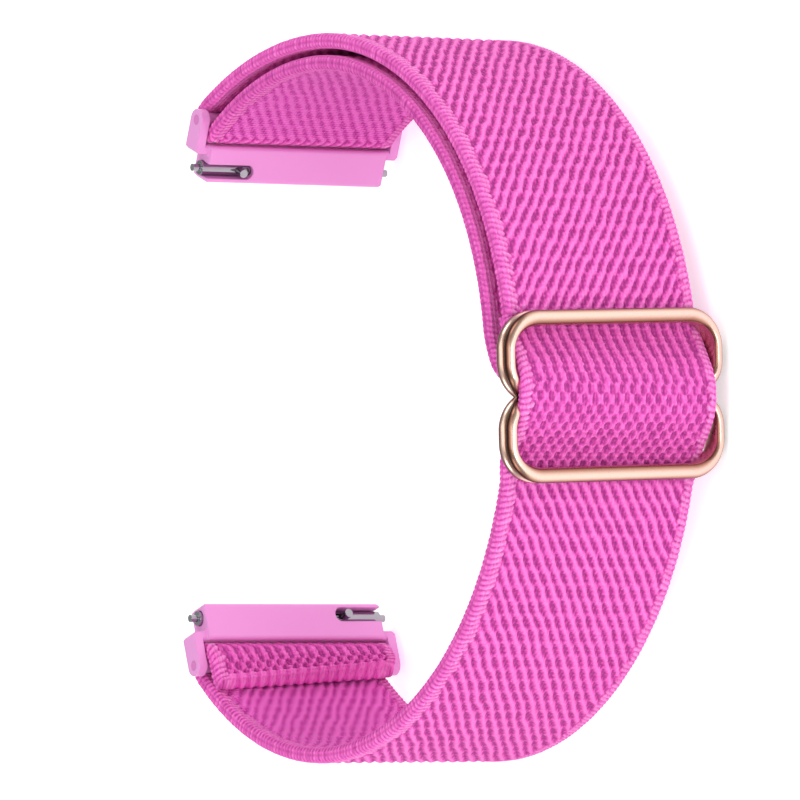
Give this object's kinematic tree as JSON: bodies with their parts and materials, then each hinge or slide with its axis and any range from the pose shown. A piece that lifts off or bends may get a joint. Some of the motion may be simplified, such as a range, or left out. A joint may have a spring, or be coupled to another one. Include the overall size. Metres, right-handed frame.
{
  "type": "watch band",
  "caption": "Elastic nylon loop watch band: a strap doubled through a wire-edged slider, with pivoting quick-release end connectors for 22 mm lugs.",
  "frame": {"origin": "under the middle of the band's box, in the plane of its lowest edge", "axes": "+Z along the axis of the loop, +X towards the slider, +Y towards the crown of the loop"},
  "size_m": [0.0636, 0.0732, 0.0257],
  "materials": {
    "nylon_webbing": "elastic nylon webbing, ribbed across",
    "slider_metal": "satin, rose-bronze",
    "connector_metal": "satin, pale pink",
    "spring_bar_steel": "turned stainless steel"
  },
  "bodies": {
    "band": {"lower_run": "nylon_webbing", "lower_feed": "nylon_webbing", "lower_wrap": "nylon_webbing", "lower_flap": "nylon_webbing", "outer_run": "nylon_webbing", "outer_feed": "nylon_webbing", "upper_wrap": "nylon_webbing", "inner_run": "nylon_webbing", "inner_feed": "nylon_webbing"},
    "slider": {"slider_frame": "slider_metal", "slider_middle_bar": "slider_metal", "window_run": "nylon_webbing", "middle_loop": "nylon_webbing"},
    "upper_connector": {"upper_connector": "connector_metal", "upper_strap_bar": "connector_metal"},
    "upper_spring_bar": {"upper_barrel": "spring_bar_steel", "upper_fixed_tip": "spring_bar_steel", "upper_tip_spring": "spring_bar_steel"},
    "upper_release": {"upper_sliding_tip": "spring_bar_steel", "upper_release_knob": "spring_bar_steel"},
    "lower_connector": {"lower_connector": "connector_metal", "lower_strap_bar": "connector_metal"},
    "lower_spring_bar": {"lower_barrel": "spring_bar_steel", "lower_fixed_tip": "spring_bar_steel", "lower_tip_spring": "spring_bar_steel"},
    "lower_release": {"lower_sliding_tip": "spring_bar_steel", "lower_release_knob": "spring_bar_steel"}
  },
  "joints": [
    {"name": "slider_travel", "type": "hinge", "parent": "band", "child": "slider", "pos_m": [-0.00765, 0, 0.01285], "axis": [0, 0, 1], "range_deg": [-16, 16], "deforming": ["lower_feed", "outer_feed", "inner_feed"]},
    {"name": "upper_connector_pivot", "type": "hinge", "parent": "band", "child": "upper_connector", "pos_m": [-0.02874, 0.02877, 0.01285], "axis": [0, 0, 1], "range_deg": [-75, 15]},
    {"name": "upper_spring_bar_turn", "type": "hinge", "parent": "upper_connector", "child": "upper_spring_bar", "pos_m": [-0.03028, 0.02396, 0.01285], "axis": [0, 0, 1], "range_deg": [-8, 8]},
    {"name": "upper_release_slide", "type": "slide", "parent": "upper_spring_bar", "child": "upper_release", "axis": [0, 0, -1], "range_m": [0, 0.0009], "stiffness_N_per_m": 600, "springref_m": -0.001, "deforming": ["upper_tip_spring"]},
    {"name": "lower_connector_pivot", "type": "hinge", "parent": "band", "child": "lower_connector", "pos_m": [-0.0287, -0.02714, 0.01285], "axis": [0, 0, 1], "range_deg": [-15, 75]},
    {"name": "lower_spring_bar_turn", "type": "hinge", "parent": "lower_connector", "child": "lower_spring_bar", "pos_m": [-0.03024, -0.02233, 0.01285], "axis": [0, 0, 1], "range_deg": [-8, 8]},
    {"name": "lower_release_slide", "type": "slide", "parent": "lower_spring_bar", "child": "lower_release", "axis": [0, 0, 1], "range_m": [0, 0.0009], "stiffness_N_per_m": 600, "springref_m": -0.001, "deforming": ["lower_tip_spring"]}
  ]
}
